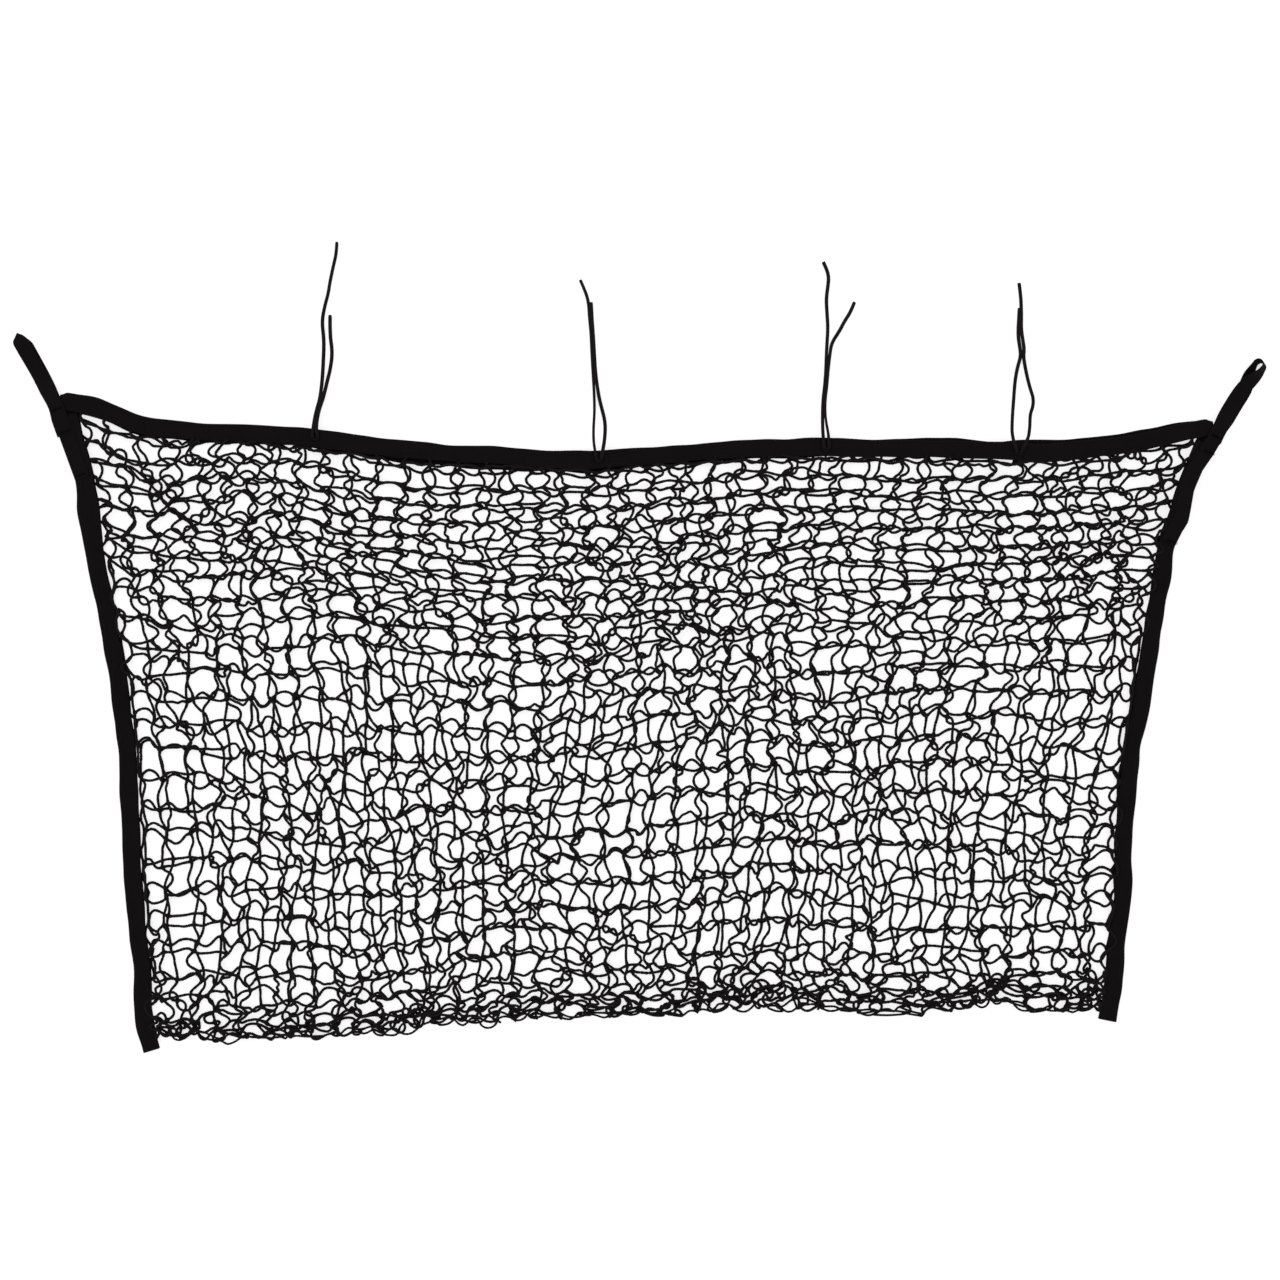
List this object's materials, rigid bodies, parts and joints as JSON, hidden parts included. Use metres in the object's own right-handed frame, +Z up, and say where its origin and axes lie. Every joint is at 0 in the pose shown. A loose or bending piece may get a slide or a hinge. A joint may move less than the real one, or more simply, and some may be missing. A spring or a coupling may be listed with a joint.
{
  "type": "hay net",
  "caption": "Slow-feeding hay net laid flat: square-mesh netting bag with tape-bound mouth and sides, webbing hanging loops at the top corners and cord ties along the mouth.",
  "frame": {"origin": "on the surface that the net lies on, under the middle of its outline without the ties", "axes": "+X to the right along the mouth, +Y from the closed bottom towards the mouth, +Z up"},
  "size_m": [1.6738, 1.0812, 0.0206],
  "materials": {
    "netting": "black twisted polyethylene twine, knotless, slight sheen",
    "tape": "black woven binding tape, folded, matt",
    "webbing": "black polypropylene webbing, matt",
    "thread": "black bonded sewing thread",
    "cord": "black braided cord, heat-cut ends"
  },
  "bodies": {
    "net": {"back_netting": "netting", "front_netting": "netting", "bottom_fold_netting": "netting", "back_rim_tape": "tape", "front_rim_tape": "tape", "left_side_tape": "tape", "right_side_tape": "tape", "left_loop_long_tail": "webbing", "left_loop_short_tail": "webbing", "right_loop_long_tail": "webbing", "right_loop_short_tail": "webbing", "back_rim_stitching": "thread", "front_rim_stitching": "thread", "tie_1_bartack": "thread", "tie_2_bartack": "thread", "tie_3_bartack": "thread", "tie_4_bartack": "thread", "left_loop_upper_bartack": "thread", "left_loop_middle_bartack": "thread", "left_loop_lower_bartack": "thread", "right_loop_upper_bartack": "thread", "right_loop_middle_bartack": "thread", "right_loop_lower_bartack": "thread", "tie_1_left_tail": "cord", "tie_1_right_tail": "cord", "tie_2_left_tail": "cord", "tie_2_right_tail": "cord", "tie_3_left_tail": "cord", "tie_3_right_tail": "cord", "tie_4_left_tail": "cord", "tie_4_right_tail": "cord", "tie_1_bight": "cord", "tie_2_bight": "cord", "tie_3_bight": "cord", "tie_4_bight": "cord"},
    "left_loop": {"left_loop_strap": "webbing"},
    "right_loop": {"right_loop_strap": "webbing"}
  },
  "joints": [
    {"name": "left_loop_swing", "type": "hinge", "parent": "net", "child": "left_loop", "pos_m": [-0.7766, 0.3826, 0.0171], "axis": [0.8763, 0.4818, 0], "range_deg": [0, 150]},
    {"name": "right_loop_swing", "type": "hinge", "parent": "net", "child": "right_loop", "pos_m": [0.7687, 0.346, 0.0171], "axis": [0.8415, -0.5402, 0], "range_deg": [0, 150]}
  ]
}
